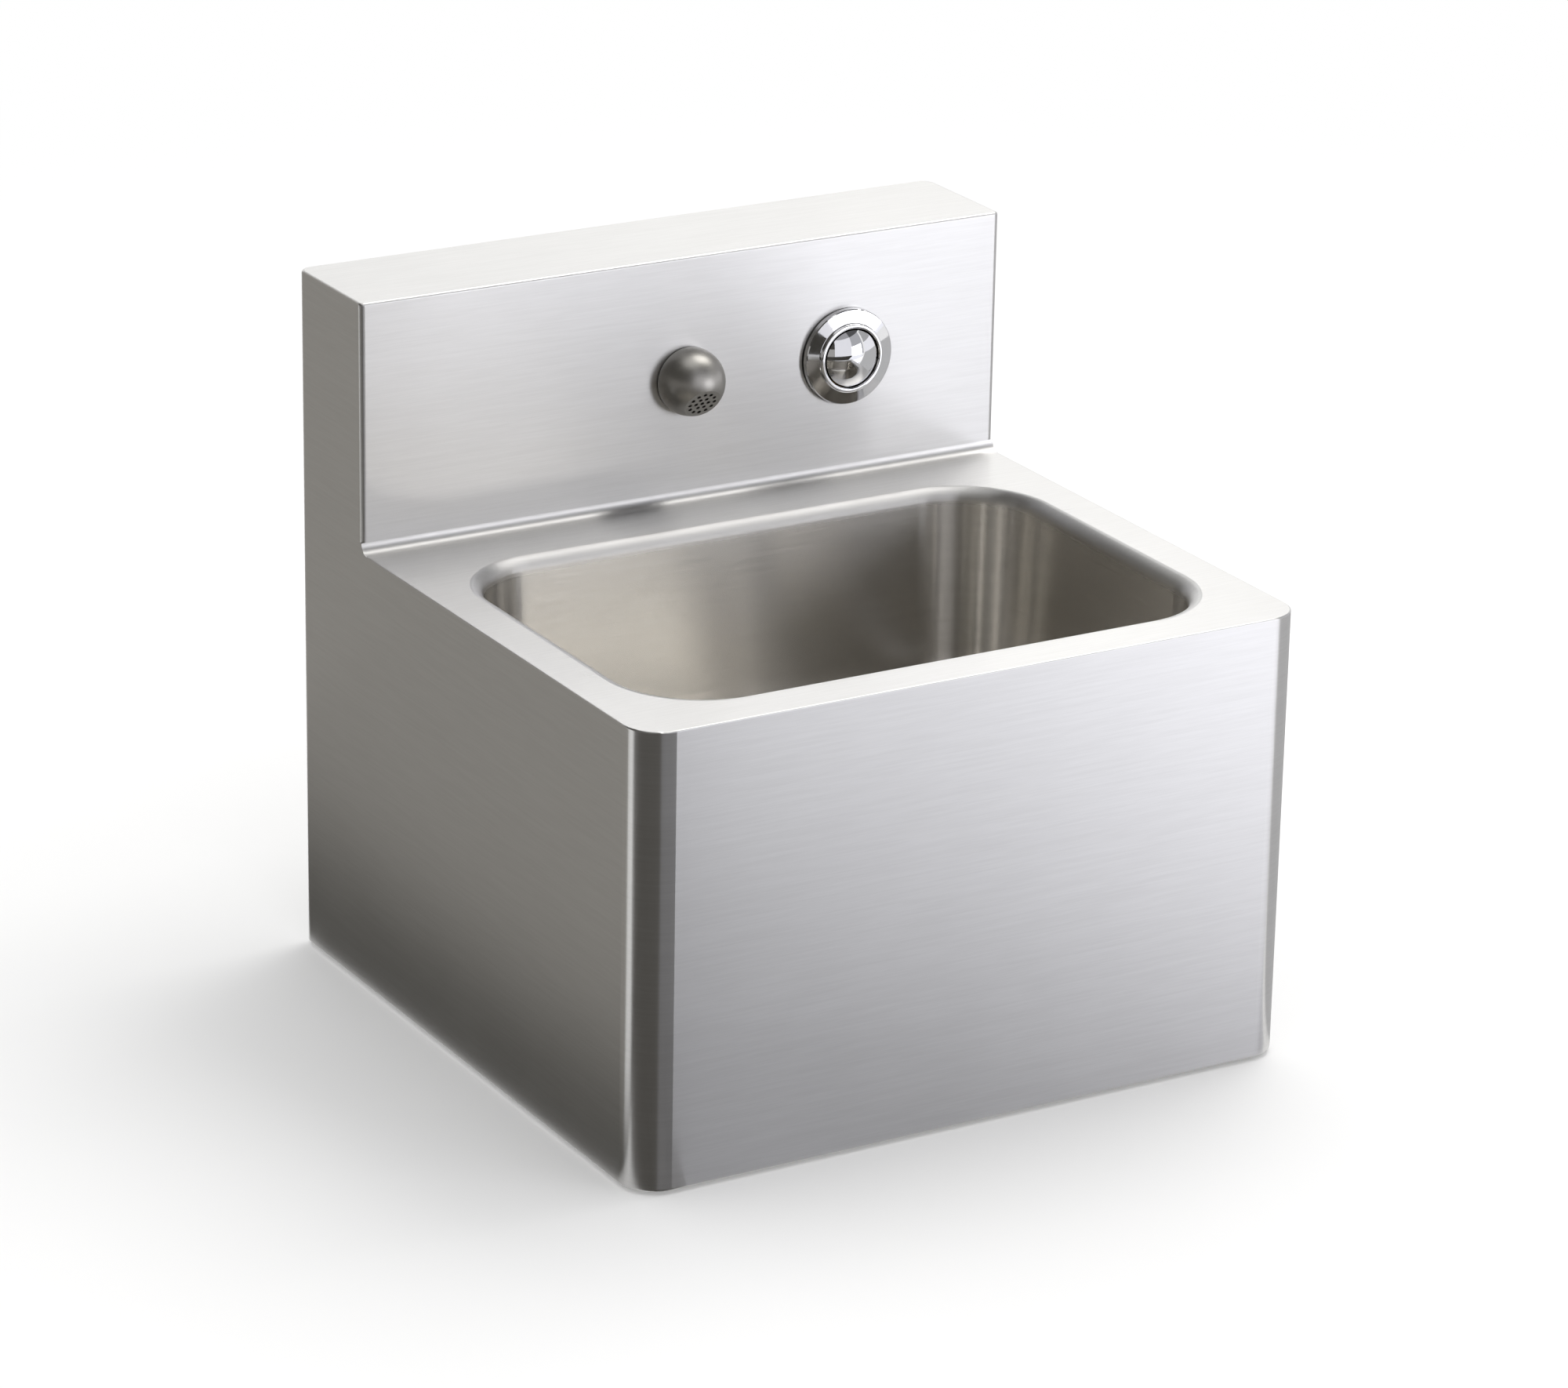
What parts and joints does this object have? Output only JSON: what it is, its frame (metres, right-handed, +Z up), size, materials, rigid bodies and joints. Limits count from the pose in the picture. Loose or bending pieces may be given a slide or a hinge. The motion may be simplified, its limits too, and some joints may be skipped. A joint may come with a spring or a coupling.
{
  "type": "wall-hung washbasin",
  "caption": "Wall-hung brushed steel washbasin: rectangular bowl in a folded box apron, raised back with a ball-shaped spray spout and a self-closing push-button valve.",
  "frame": {"origin": "centre of the four wall fixing holes, on the wall plane", "axes": "+X to the user's right along the wall, +Y into the wall, +Z up"},
  "size_m": [0.4, 0.39, 0.3942],
  "materials": {
    "brushed_steel": "fine horizontal brushing, satin",
    "mill_steel": "plain cold-rolled sheet",
    "fastener_steel": "turned and polished steel",
    "waste_steel": "polished",
    "satin_nickel": "satin nickel",
    "chrome": "polished chrome",
    "brass": "turned brass",
    "copper": "drawn copper tube",
    "seal_rubber": "black rubber",
    "pad_rubber": "bitumen felt",
    "trap_plastic": "white polypropylene",
    "valve_plastic": "natural acetal"
  },
  "bodies": {
    "basin": {"apron": "brushed_steel", "deck_plate": "brushed_steel", "bowl": "brushed_steel", "upstand_cover": "brushed_steel", "wall_hanger": "mill_steel", "fixing_rail": "mill_steel", "access_panel": "mill_steel", "panel_tabs": "mill_steel", "panel_nuts": "fastener_steel", "panel_screws": "fastener_steel", "sound_pads": "pad_rubber", "waste_body": "waste_steel", "strainer_plate": "waste_steel", "strainer_screw": "waste_steel", "waste_seal_upper": "seal_rubber", "waste_seal_lower": "seal_rubber", "waste_backnut": "brass", "trap_inlet_seal": "seal_rubber", "trap_inlet_nut": "trap_plastic", "trap_body": "trap_plastic", "trap_dip_tube": "trap_plastic", "trap_cup": "trap_plastic", "trap_cup_seal": "seal_rubber", "outlet_seal": "seal_rubber", "outlet_nut": "trap_plastic", "outlet_pipe": "trap_plastic", "spout_head": "satin_nickel", "spout_gasket": "seal_rubber", "spout_shank": "brass", "flow_disc": "valve_plastic", "spout_washer": "fastener_steel", "spout_locknut": "brass", "spout_elbow": "brass", "link_tube": "copper", "link_nuts": "brass", "link_olives": "brass", "flange_gasket": "seal_rubber", "valve_flange": "chrome", "bezel_ring": "chrome", "valve_body": "brass", "valve_washer": "fastener_steel", "valve_locknut": "brass", "end_cap": "brass", "end_cap_seal": "seal_rubber", "return_spring": "fastener_steel"},
    "button": {"button_cap": "chrome", "button_stem": "fastener_steel", "piston": "valve_plastic", "piston_seal": "seal_rubber"}
  },
  "joints": [
    {"name": "button_press", "type": "slide", "parent": "basin", "child": "button", "axis": [0, 1, 0], "range_m": [0, 0.006], "stiffness_N_per_m": 1200, "springref_m": -0.004, "deforming": ["return_spring"]}
  ]
}
